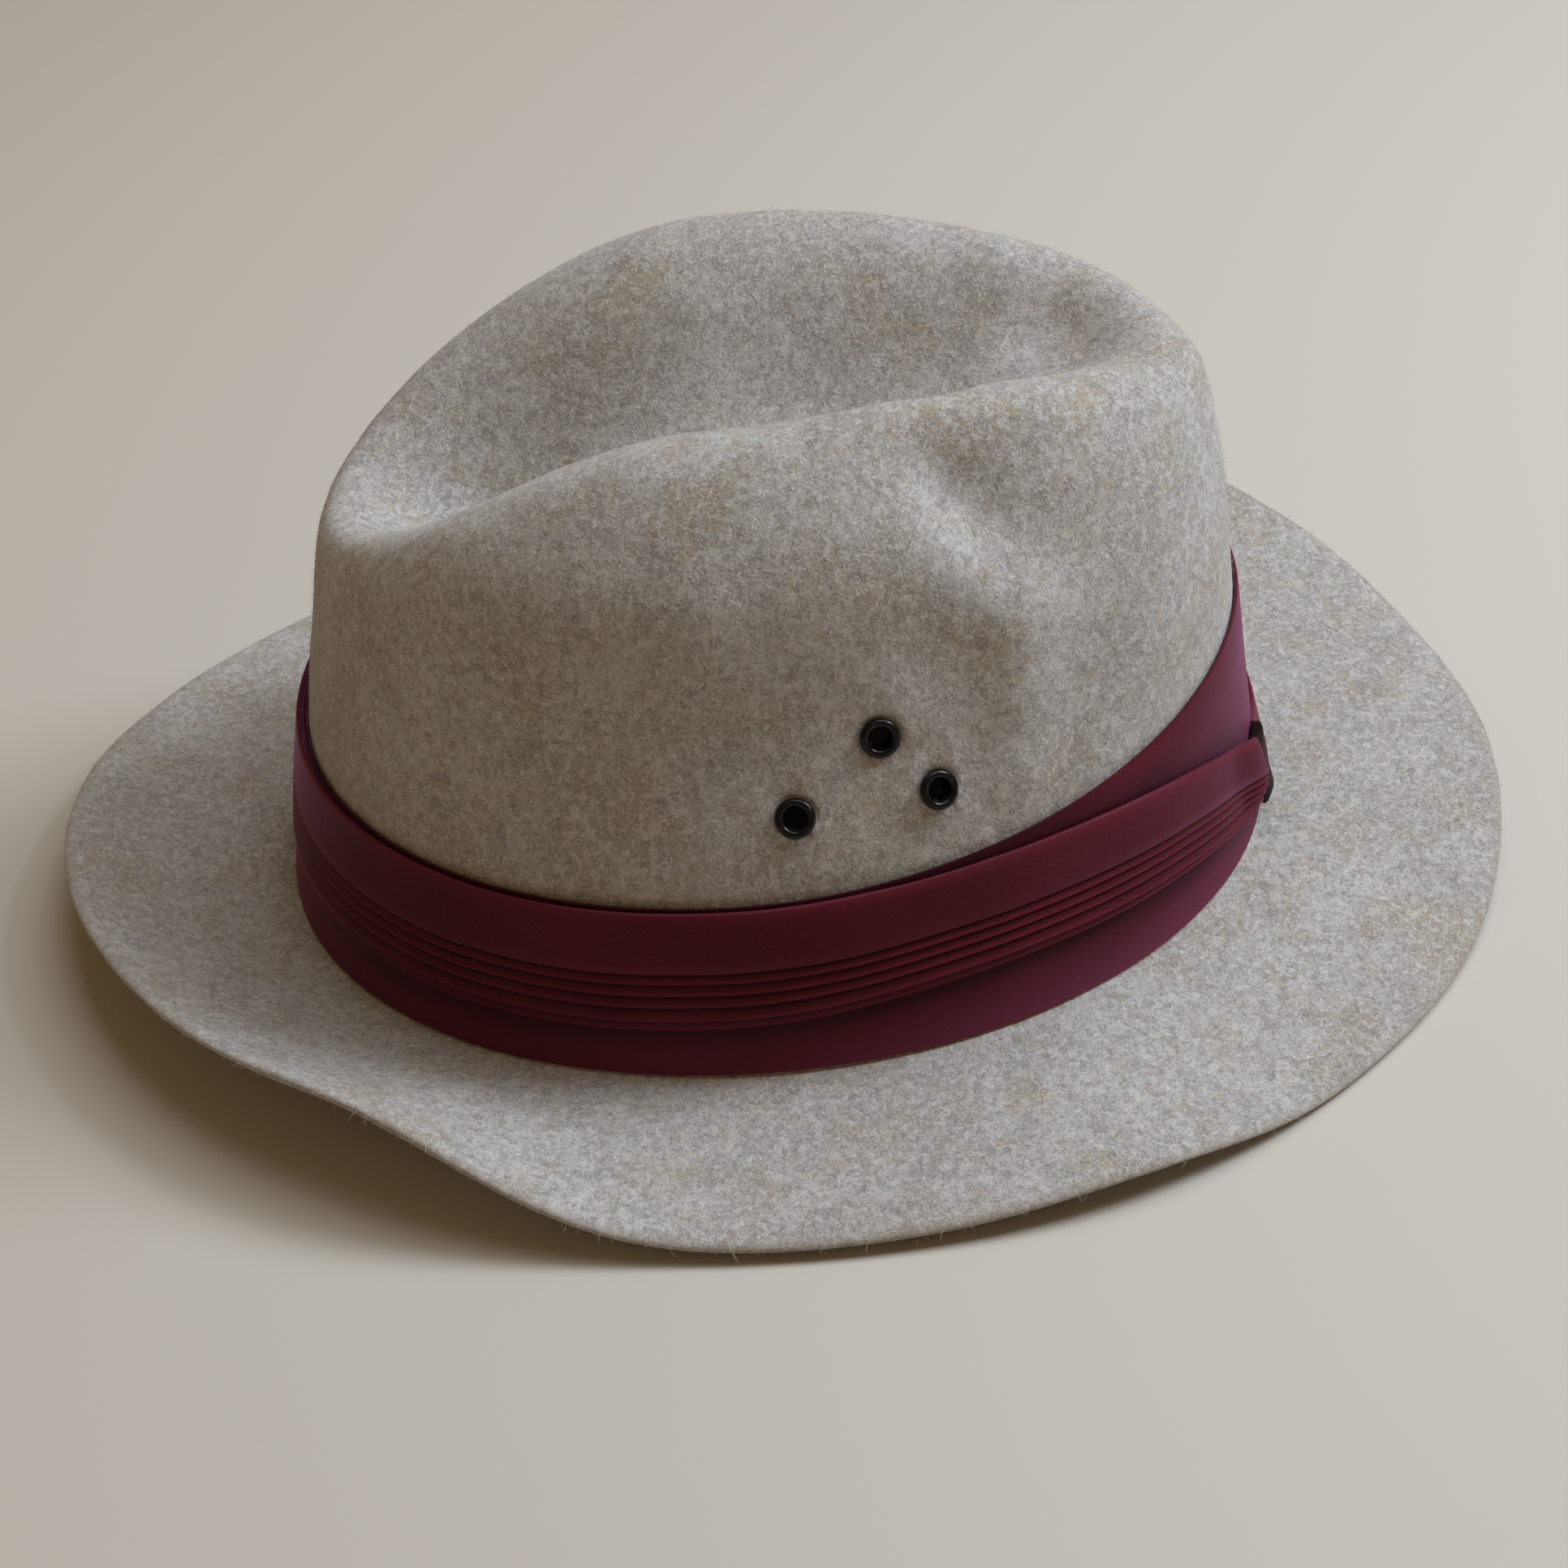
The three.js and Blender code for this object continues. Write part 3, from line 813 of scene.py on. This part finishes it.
@dataclass
class FeltBody:
    """Crown and brim: one sheet of felt, pressed by hand, softly uneven, with a raw cut edge."""

    levels: int = 2
    lump_size: float = 24 * MM
    lump_height: float = 0.7 * MM
    pucker_size: float = 8 * MM
    pucker_height: float = 0.3 * MM
    still: float = 3 * MM
    above_table: float = 4 * MM
    clear_of_trim: float = 10 * MM
    edge_width: float = 2.2 * MM
    rim_steps: int = 180
    hole_ring: Pair = (5.0 * MM, 15 * MM)
    bare_by_trim: float = 0.8 * MM
    bare_by_table: float = 1.2 * MM
    thinning: float = 1.5 * MM
    edge_growth: float = 1.5
    relax_passes: int = 40
    presses: tuple[Press, ...] = (
        Press((-52, -33, 118), 1.4, 11),
        Press((-57, -41, 111), 2.9, 11),
        Press((-59, -48, 103), 1.3, 12),
        Press((-49, -55, 109), -0.8, 12),
        Press((-65, -52, 88), -1.7, 14),
        Press((-69, -50, 74), -1.8, 14),
        Press((-74, -48, 60), -1.2, 11),
        Press((-71, -34, 88), 1.4, 17),
        Press((-61, -65, 74), 0.8, 18),
        Press((-73, 10, 95), 1.7, 18),
        Press((-69, 31, 96), 1.4, 18),
        Press((-60, 44, 96), 1.0, 18),
        Press((3, -62, 114), 2.4, 16),
        Press((20, -52, 117), 1.4, 13),
        Press((-47, -18, 123), -1.5, 18),
        Press((-43, -33, 123), -2.6, 18),
        Press((-32, -49, 120), -3.4, 18),
        Press((-24, -64, 118), -2.4, 17),
        Press((-9, -87, 113), -1.2, 14),
    )
    piece: Piece | None = None

    def build(self) -> None:
        """Builds the felt, with the masks that its finish and its fibres read."""
        piece = copy_of("felt_body", "felt_crown_and_brim")
        refine(piece, self.levels)
        self.relax_round_holes(piece)
        for press in self.presses:
            press.apply(piece)
        away = apart_from(piece, ("hat_band", *Eyelets.nodes))
        heights = points_of(piece)[:, 2]
        raised = np.clip((heights - self.still) / self.above_table, 0, 1)
        add_weights(piece, "free", np.clip((away - self.still) / self.clear_of_trim, 0, 1) * raised)
        roughen(piece, self.lump_size, self.lump_height, "free")
        roughen(piece, self.pucker_size, self.pucker_height, "free")
        edge = self.near_edge(piece)
        add_mask(piece, "cut_edge", edge)
        add_mask(piece, "fuzz", self.fuzz(piece, away, edge))
        shade(piece)
        self.piece = piece

    def relax_round_holes(self, piece: Piece) -> None:
        """Smooths the felt round the eyelet holes, past the eyelets' flanges.

        Args:
            piece: The felt.
        """
        places = points_of(piece)
        near = np.zeros(len(places), bool)
        for node in Eyelets.nodes:
            low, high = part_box(node)
            apart = np.linalg.norm(places - np.array((low + high) / 2), axis=1)
            near |= (apart > self.hole_ring[0]) & (apart < self.hole_ring[1])
        pick(piece, near)
        with editing():
            bpy.ops.mesh.vertices_smooth(factor=0.5, repeat=self.relax_passes)

    def near_edge(self, piece: Piece) -> np.ndarray:
        """How near each vertex is to the brim's cut edge.

        Args:
            piece: The felt.

        Returns:
            1 at the edge, falling to 0 over the edge's width.
        """
        places = points_of(piece)
        reach = np.hypot(places[:, 0], places[:, 1])
        turn = np.arctan2(places[:, 1], places[:, 0])
        count, full = self.rim_steps, 2 * math.pi
        bins = np.round((turn + math.pi) / full * count).astype(int) % count
        longest = np.zeros(count)
        np.maximum.at(longest, bins, reach)
        rim = np.interp(turn, (np.arange(count) / count - 0.5) * full, longest, period=full)
        return np.clip(1 - (rim - reach) / self.edge_width, 0, 1)

    def fuzz(self, piece: Piece, away: np.ndarray, edge: np.ndarray) -> np.ndarray:
        """How thickly loose fibres grow: none under the band or at the table, most at the cut edge.

        Args:
            piece: The felt.
            away: Distance from the trim for each vertex.
            edge: Nearness to the cut edge for each vertex.

        Returns:
            One share for each vertex.
        """
        heights = points_of(piece)[:, 2]
        clear = np.clip((away - self.bare_by_trim) / self.thinning, 0, 1)
        raised = np.clip((heights - self.bare_by_table) / self.thinning, 0, 1)
        return clear * raised * (1 + self.edge_growth * edge)

    def dress(self, material: Material) -> None:
        """Puts the felt's finish on."""
        dress_piece(self.piece, material, ("felt_body",))


@dataclass
class Nap:
    """Loose curled fibres of one tint that stand and lie on the felt."""

    name: str
    tint: Colour
    seed: int
    length: float = 1.6 * MM
    width: float = 0.05 * MM
    curl: float = 0.2
    count: int = 37000
    lean_from: float = 0.85
    lean_to: float = 1.5
    sunk: float = 0.12 * MM
    middle_bow: float = 0.4
    taper: float = 0.7
    tip_turn: float = 0.06
    tip_length: float = 0.8
    scales: tuple[Triple, ...] = ((0.6, 0.6, 0.5), (1.2, 1.2, 1.25))

    def blade(self) -> Piece:
        """Models one curled, tapering fibre with its root just under the origin.

        Returns:
            The fibre.
        """
        part = self.length / 3
        deselect()
        bpy.ops.mesh.primitive_plane_add(size=1, location=(0, 0, 0), rotation=(math.pi / 2, 0, 0))
        piece = bpy.context.object
        piece.name = f"{self.name}_fibre"
        bpy.ops.object.transform_apply(location=True, rotation=True, scale=True)
        bow = self.curl * self.length
        with editing("SELECT"):
            bpy.ops.transform.resize(value=(self.width, 1, part))
            bpy.ops.transform.translate(value=(0, 0, part / 2 - self.sunk))
        pick(piece, points_of(piece)[:, 2] > 0)
        with editing():
            middle = (self.middle_bow * bow, 0, part)
            bpy.ops.mesh.extrude_region_move(TRANSFORM_OT_translate={"value": middle})
            bpy.ops.transform.resize(value=(self.taper, 1, 1))
            tip = (bow, self.tip_turn * self.length, self.tip_length * part)
            bpy.ops.mesh.extrude_region_move(TRANSFORM_OT_translate={"value": tip})
            bpy.ops.mesh.merge(type="CENTER")
        return piece

    def build(self, felt: Piece) -> Piece:
        """Scatters fibres over the felt and makes them one mesh.

        Args:
            felt: The felt piece.

        Returns:
            The fibres.
        """
        blade = self.blade()
        piece = new_piece(self.name, felt.data.copy())
        piece.data.materials.clear()
        modify(piece, "NODES", node_group=self.scatter(piece, blade))
        bpy.data.objects.remove(blade)
        return piece

    def scatter(self, piece: Piece, blade: Piece) -> NodeTree:
        """Builds the scatter as geometry nodes.

        Args:
            piece: The surface that the fibres stand on, with its attribute fuzz.
            blade: The fibre to repeat.

        Returns:
            The node tree.
        """
        tree = bpy.data.node_groups.new(f"{piece.name}_scatter", "GeometryNodeTree")
        for way in ("INPUT", "OUTPUT"):
            tree.interface.new_socket("Geometry", in_out=way, socket_type="NodeSocketGeometry")
        fuzz = read(piece.data.attributes["fuzz"].data, "value", np.float32).astype(float)
        area = sum(face.area * fuzz[list(face.vertices)].mean() for face in piece.data.polygons)
        work = Nodes(tree)
        entry, leave = work.add("NodeGroupInput"), work.add("NodeGroupOutput")
        grown = work.add("GeometryNodeInputNamedAttribute", {"Name": "fuzz"}).outputs["Attribute"]
        density = work.times(grown, self.count / area)
        points = work.add(
            "GeometryNodeDistributePointsOnFaces",
            {"Mesh": entry.outputs[0], "Density": density, "Seed": self.seed},
        )
        fibre = work.add("GeometryNodeObjectInfo", {"Object": blade}).outputs["Geometry"]
        lean = self.random(work, (self.lean_from, 0, 0), (self.lean_to, 0, 0), 1)
        turn = self.random(work, (0, 0, 0), (0, 0, 2 * math.pi), 2)
        rotation = points.outputs["Rotation"]
        for angle in (turn, lean):
            fed = {0: rotation, 1: angle}
            rotate = work.add("FunctionNodeRotateRotation", fed, rotation_space="LOCAL")
            rotation = rotate.outputs[0]
        fed = {
            "Points": points.outputs["Points"], "Instance": fibre,
            "Rotation": rotation, "Scale": self.random(work, *self.scales, 3),
        }
        place = work.add("GeometryNodeInstanceOnPoints", fed)
        realise = work.add("GeometryNodeRealizeInstances", {0: place.outputs[0]})
        work.feed(leave.inputs[0], realise.outputs[0])
        return tree

    def random(self, work: Nodes, low: tuple, high: tuple, step: int) -> Socket:
        """Places a random vector between two, seeded with the nap's own seed and a step."""
        fed = {0: low, 1: high, "Seed": self.seed + step}
        return work.add("FunctionNodeRandomValue", fed, data_type="FLOAT_VECTOR").outputs[0]

    def dress(self, piece: Piece) -> None:
        """Puts the fibres' tint on."""
        dress_piece(piece, StrandFinish(self.name, self.tint).build(), ())


@dataclass
class Band:
    """Plain sateen band at the foot of the crown."""

    levels: int = 2
    crease: Pair = (0.75, 50)
    map_radius: float = 97 * MM
    foot_height: float = 14 * MM
    foot_full: float = 1.4
    foot_least: float = 0.25
    lump_size: float = 30 * MM
    lump_height: float = 0.25 * MM
    fold_size: float = 1.2 * MM
    # Painted shade under the sash: how far below it reaches, and how dark it gets at most.
    sash_shade_width: float = 7.5 * MM
    sash_shade_depth: float = 0.62
    # Where the painted highlight on the foot is strongest and how far it spreads, in degrees of
    # turn.
    foot_highlight_turn: float = 38
    foot_highlight_spread: float = 34
    piece: Piece | None = None

    def build(self) -> None:
        """Builds the band, with painted shade on it under and just below the sash."""
        piece = copy_of("hat_band", "sateen_band")
        crease_folds(piece, *self.crease)
        refine(piece, self.levels)
        roughen(piece, self.lump_size, self.lump_height)
        # Painted shade: the band darker under and just below the sash, and in its own fold valleys.
        sash_shade = np.clip(1 - apart_from(piece, ("pleated_sash",)) / self.sash_shade_width, 0, 1)
        folds = bends_of(piece, self.fold_size)
        add_mask(piece, "fold", np.maximum(folds, self.sash_shade_depth * sash_shade))
        add_mask(piece, "foot", self.foot(piece))
        wrap_map(piece, self.map_radius)
        shade(piece, self.crease[1])
        self.piece = piece

    def foot(self, piece: Piece) -> np.ndarray:
        """Marks the strip beside the brim for a painted highlight, where light falls on the flared
        foot.

        Args:
            piece: The band.

        Returns:
            One share for each vertex, most toward the front right.
        """
        places = points_of(piece)
        turn = np.degrees(np.arctan2(-places[:, 0], -places[:, 1]))
        ahead = np.exp(-(((turn - self.foot_highlight_turn) / self.foot_highlight_spread) ** 2))
        share = self.foot_least + (1 - self.foot_least) * ahead
        return share * np.clip(self.foot_full - places[:, 2] / self.foot_height, 0, 1)

    def dress(self, material: Material) -> None:
        """Puts the burgundy sateen on."""
        dress_piece(self.piece, material, ("hat_band",))


@dataclass
class Sash:
    """Pleated sateen sash over the band, with a narrow wrap round its gathered ends."""

    levels: int = 2
    crease: Pair = (0.85, 35)
    smooth_below: float = 60
    wrap_levels: int = 3
    wrap_crease: Pair = (0.3, 60)
    map_radius: float = 99 * MM
    lump_size: float = 22 * MM
    lump_height: float = 0.35 * MM
    fold_size: float = 1.2 * MM
    wrap_share: Pair = (0.88, 0.74)
    wrap_lift: float = 0.7 * MM
    puffs: tuple[Press, ...] = (
        Press((-29, -99, 30), -2.6, 12, connected=True),
        Press((-28, -100, 23), -2.4, 9, connected=True),
        Press((-11, -102, 33), 1.3, 9, connected=True),
    )
    sash: Piece | None = None
    wrap: Piece | None = None

    def build(self) -> None:
        """Builds the sash and its wrap."""
        self.sash = copy_of("pleated_sash", "pleated_sateen_sash")
        crease_folds(self.sash, *self.crease)
        refine(self.sash, self.levels)
        roughen(self.sash, self.lump_size, self.lump_height)
        # Painted shade in the pleats' valleys, read by the finish through the fold mask.
        add_mask(self.sash, "fold", bends_of(self.sash, self.fold_size))
        wrap_map(self.sash, self.map_radius)
        shade(self.sash, self.smooth_below)
        for press in self.puffs:
            press.apply(self.sash)
        self.wrap = copy_of("sash_wrap", "gathering_wrap")
        crease_folds(self.wrap, *self.wrap_crease)
        refine(self.wrap, self.wrap_levels)
        self.slim(self.wrap)
        # Painted shade in the wrap's folds, read through the fold mask.
        add_mask(self.wrap, "fold", bends_of(self.wrap, self.fold_size / 2))
        wrap_map(self.wrap, self.map_radius)
        shade(self.wrap)

    def slim(self, wrap: Piece) -> None:
        """Draws the wrap in toward its back, so that it lies close to the sash.

        Args:
            wrap: The wrap.
        """
        places = points_of(wrap)
        still = (places.min(0) + places.max(0)) / 2
        still[1] = places[:, 1].max()
        take(wrap)
        with editing("SELECT"):
            bpy.ops.transform.resize(value=(1, *self.wrap_share), center_override=tuple(still))
            bpy.ops.transform.translate(value=(0, 0, self.wrap_lift))

    def dress(self, material: Material, dark: Material) -> None:
        """Puts the burgundy sateen on the sash, and on the wrap the near-black sateen: partly its
        own dark cloth, partly painted shade.
        """
        dress_piece(self.sash, material, ("pleated_sash",))
        dress_piece(self.wrap, dark, ("sash_wrap",))


@dataclass
class Eyelets:
    """Glossy black vent eyelets: a rolled flange outside, a barrel and a clinched flange inside."""

    nodes: tuple[str, ...] = ("eyelet_back", "eyelet_middle", "eyelet_front")
    flange: float = 3.9 * MM
    hole: float = 2.15 * MM
    roll: float = 1.3 * MM
    felt: float = 2.3 * MM
    clinch: float = 3.9 * MM
    clinch_thick: float = 0.8 * MM
    barrel: float = 2.9 * MM
    roll_foot: float = 0.25
    roll_steps: int = 9
    steps: int = 48
    merge: float = 0.01 * MM
    smooth_below: float = 40
    turned: Values = (0.0, 0.0, 13.0)
    pieces: tuple[Piece, ...] = ()

    def model(self) -> Piece:
        """Models one eyelet about the Z axis, with the felt's outside at the origin.

        Returns:
            The eyelet.
        """
        middle = (self.flange + self.hole) / 2
        half = (self.flange - self.hole) / 2
        rise = 1 - self.roll_foot
        arc = [
            (middle + half * math.cos(turn), self.roll * (self.roll_foot + rise * math.sin(turn)))
            for turn in np.linspace(0, math.pi, self.roll_steps)
        ]
        inside = -self.felt - self.clinch_thick
        rest = [
            (self.hole, -self.felt * 0.5),
            (self.hole, inside + 0.2 * MM),
            (self.hole + 0.25 * MM, inside),
            (self.clinch - 0.2 * MM, inside),
            (self.clinch, inside + 0.3 * MM),
            (self.clinch, -self.felt - 0.1 * MM),
            (self.barrel, -self.felt - 0.05 * MM),
            (self.barrel, 0.0),
            (self.flange - 0.1 * MM, 0.0),
        ]
        outline = arc + rest
        deselect()
        bpy.ops.mesh.primitive_circle_add(vertices=len(outline), radius=self.flange)
        piece = bpy.context.object
        for vertex, (radius, height) in zip(piece.data.vertices, outline):
            vertex.co = (radius, 0.0, height)
        with editing("SELECT"):
            bpy.ops.mesh.spin(steps=self.steps, angle=2 * math.pi, center=(0, 0, 0), axis=(0, 0, 1))
            bpy.ops.mesh.select_all(action="SELECT")
            bpy.ops.mesh.remove_doubles(threshold=self.merge)
            bpy.ops.mesh.normals_make_consistent(inside=False)
        shade(piece, self.smooth_below)
        return piece

    def place_of(self, node: str, turned: float) -> Matrix:
        """Finds where an eyelet sits, from its solid.

        Args:
            node: Name of the solid.
            turned: Degrees that it was set toward the front.

        Returns:
            Its place, with +Z out of the felt.
        """
        places = np.array([v.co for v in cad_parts[node].data.vertices])
        places = np.unique(np.round(places, 7), axis=0)
        spread = np.cov((places - places.mean(0)).T)
        values, axes = np.linalg.eigh(spread)
        others = np.abs(np.roll(values, -1) - np.roll(values, -2))
        axis = Vector(axes[:, int(np.argmin(others))]).normalized()
        if axis.dot(Vector((*places.mean(0)[:2], 0))) < 0:
            axis.negate()
        along = places @ np.array(axis)
        middle = Vector(places.mean(0))
        middle += axis * (along.max() - self.roll - middle.dot(axis))
        upright = Vector((0, 0, 1)).rotation_difference(axis).to_matrix().to_4x4()
        return Matrix.Translation(middle) @ Matrix.Rotation(math.radians(turned), 4, "Z") @ upright

    def build(self) -> None:
        """Builds every eyelet, each with its own mesh."""
        first = self.model()
        made = []
        for node, turned in zip(self.nodes, self.turned):
            piece = new_piece(f"lacquered_{node}", first.data.copy())
            piece.data.transform(self.place_of(node, turned))
            made.append(piece)
        bpy.data.objects.remove(first)
        self.pieces = tuple(made)

    def dress(self, material: Material) -> None:
        """Puts the black lacquer on."""
        for node, piece in zip(self.nodes, self.pieces):
            dress_piece(piece, material, (node,))


# ---------------------------------------------------------------- studio


@dataclass(frozen=True)
class Lamp:
    """One soft square lamp: where it hangs and its side in metres, its watts and its tint."""

    name: str
    at: Triple
    size: float
    watts: float
    tint: Colour


@dataclass
class Studio:
    """Pale floor, soft light and the camera."""

    camera_at: Triple = (-0.544393, -0.026505, 0.394334)
    forward: Triple = (0.8158, 0.0381, -0.5771)
    upward: Triple = (0.5783, -0.0462, 0.8145)
    lens: float = 70.52
    sensor: float = 36.0
    near: float = 0.01
    floor_size: float = 2.6
    floor_gap: float = 0.4 * MM
    floor_plain: Plain = (("Base Color", (0.60, 0.565, 0.51, 1)), ("Roughness", 0.8))
    room_tint: Colour = (1.0, 0.63, 0.26, 1)
    room_strength: float = 0.20
    aim: Triple = (0, 0, 0.05)
    lamps: tuple[Lamp, ...] = (
        Lamp("window", (0.17, -1.05, 1.06), 0.5, 16.0, (0.80, 0.895, 1.0, 1)),
        Lamp("ceiling", (0.18, -0.38, 1.45), 1.0, 9.5, (0.85, 0.925, 1.0, 1)),
    )
    wall: Colour = (0.42, 0.39, 0.35, 1)

    def camera(self) -> None:
        """Sets the camera at the angle that the hat is seen from."""
        data = bpy.data.cameras.new("view")
        data.lens = self.lens
        data.sensor_width = self.sensor
        data.clip_start = self.near
        camera = new_piece("view", data)
        back = -Vector(self.forward).normalized()
        right = Vector(self.upward).cross(back).normalized()
        up = back.cross(right)
        turn = Matrix((right, up, back)).transposed().to_4x4()
        camera.matrix_world = Matrix.Translation(self.camera_at) @ turn
        bpy.context.scene.camera = camera

    def floor(self) -> None:
        """Lays a plain pale floor at the table's height."""
        deselect()
        bpy.ops.mesh.primitive_plane_add(size=self.floor_size, location=(0, 0, -self.floor_gap))
        floor = bpy.context.object
        floor.name = "pale_floor"
        floor.data.materials.append(blank_material("pale_floor", self.floor_plain)[0])

    def hang(self, lamp: Lamp) -> None:
        """Hangs a soft square lamp that looks at the crown.

        Args:
            lamp: The lamp.
        """
        data = bpy.data.lights.new(lamp.name, "AREA")
        data.shape = "SQUARE"
        data.size = lamp.size
        data.energy = lamp.watts
        data.color = lamp.tint[:3]
        piece = new_piece(lamp.name, data)
        turn = (Vector(self.aim) - Vector(lamp.at)).to_track_quat("-Z", "Y")
        piece.matrix_world = Matrix.Translation(lamp.at) @ turn.to_matrix().to_4x4()

    def light(self) -> None:
        """Lights the hat softly from its front and above, and warmly and weakly all round."""
        for lamp in self.lamps:
            self.hang(lamp)
        world = bpy.data.worlds.new("room")
        world.use_nodes = True
        sky = world.node_tree.nodes["Background"]
        sky.inputs["Color"].default_value = self.room_tint
        sky.inputs["Strength"].default_value = self.room_strength
        self.pale_backdrop(world)
        bpy.context.scene.world = world
        bpy.context.scene.view_settings.view_transform = "Standard"

    def pale_backdrop(self, world: bpy.types.World) -> None:
        """Shows the camera a pale wall, while the hat is still lit by the warm room.

        Args:
            world: The room.
        """
        work = Nodes(world.node_tree)
        lit = world.node_tree.nodes["Background"]
        seen = work.add("Background", {"Color": self.wall}).outputs[0]
        camera = work.add("LightPath").outputs["Is Camera Ray"]
        join = work.add("MixShader", {0: camera, 1: lit.outputs[0], 2: seen})
        work.feed(world.node_tree.nodes["World Output"].inputs["Surface"], join.outputs[0])

    def build(self) -> None:
        """Builds the whole studio."""
        self.camera()
        self.floor()
        self.light()


def main() -> None:
    """Builds and dresses the hat, piece by piece."""
    logging.basicConfig(level=logging.INFO, format="%(message)s")
    effects = Effects()
    burgundy = SateenFinish(
        "burgundy_sateen",
        deep=(0.066, 0.006, 0.012, 1),
        raised=(0.115, 0.012, 0.023, 1),
        valley=(0.010, 0.001, 0.003, 1),
        ridge_tint=(0.15, 0.022, 0.038, 1),
        foot_highlight=(0.20, 0.052, 0.105, 1),
        sheen=(0.80, 0.30, 0.62, 1),
    ).build(effects)
    # Near-black wrap: partly its own dark cloth, partly painted shade for the shaded side of the
    # sash's gathered loop.
    dark = SateenFinish(
        "dark_sateen",
        deep=(0.008, 0.0025, 0.004, 1),
        raised=(0.013, 0.004, 0.006, 1),
        valley=(0.003, 0.001, 0.002, 1),
        ridge_tint=(0.02, 0.006, 0.009, 1),
        foot_highlight=(0.02, 0.006, 0.009, 1),
        sheen=(0.4, 0.25, 0.3, 1),
        sheen_weight=0.03,
    ).build(effects)

    felt = FeltBody()
    felt.build()
    naps = (
        Nap("nap_cream", (0.66, 0.64, 0.60, 1), 11, length=2.6 * MM, curl=0.3, lean_from=1.1),
        Nap("nap_oat", (0.42, 0.38, 0.31, 1), 23),
        Nap("nap_grey", (0.24, 0.225, 0.21, 1), 37, length=1.4 * MM, curl=0.15),
    )
    for nap in naps:
        nap.dress(nap.build(felt.piece))
    felt.dress(FeltFinish().build(effects))

    band = Band()
    band.build()
    band.dress(burgundy)
    sash = Sash()
    sash.build()
    sash.dress(burgundy, dark)
    eyelets = Eyelets()
    eyelets.build()
    eyelets.dress(LacquerFinish().build(effects))

    Studio().build()


if __name__ == "__main__":
    main()
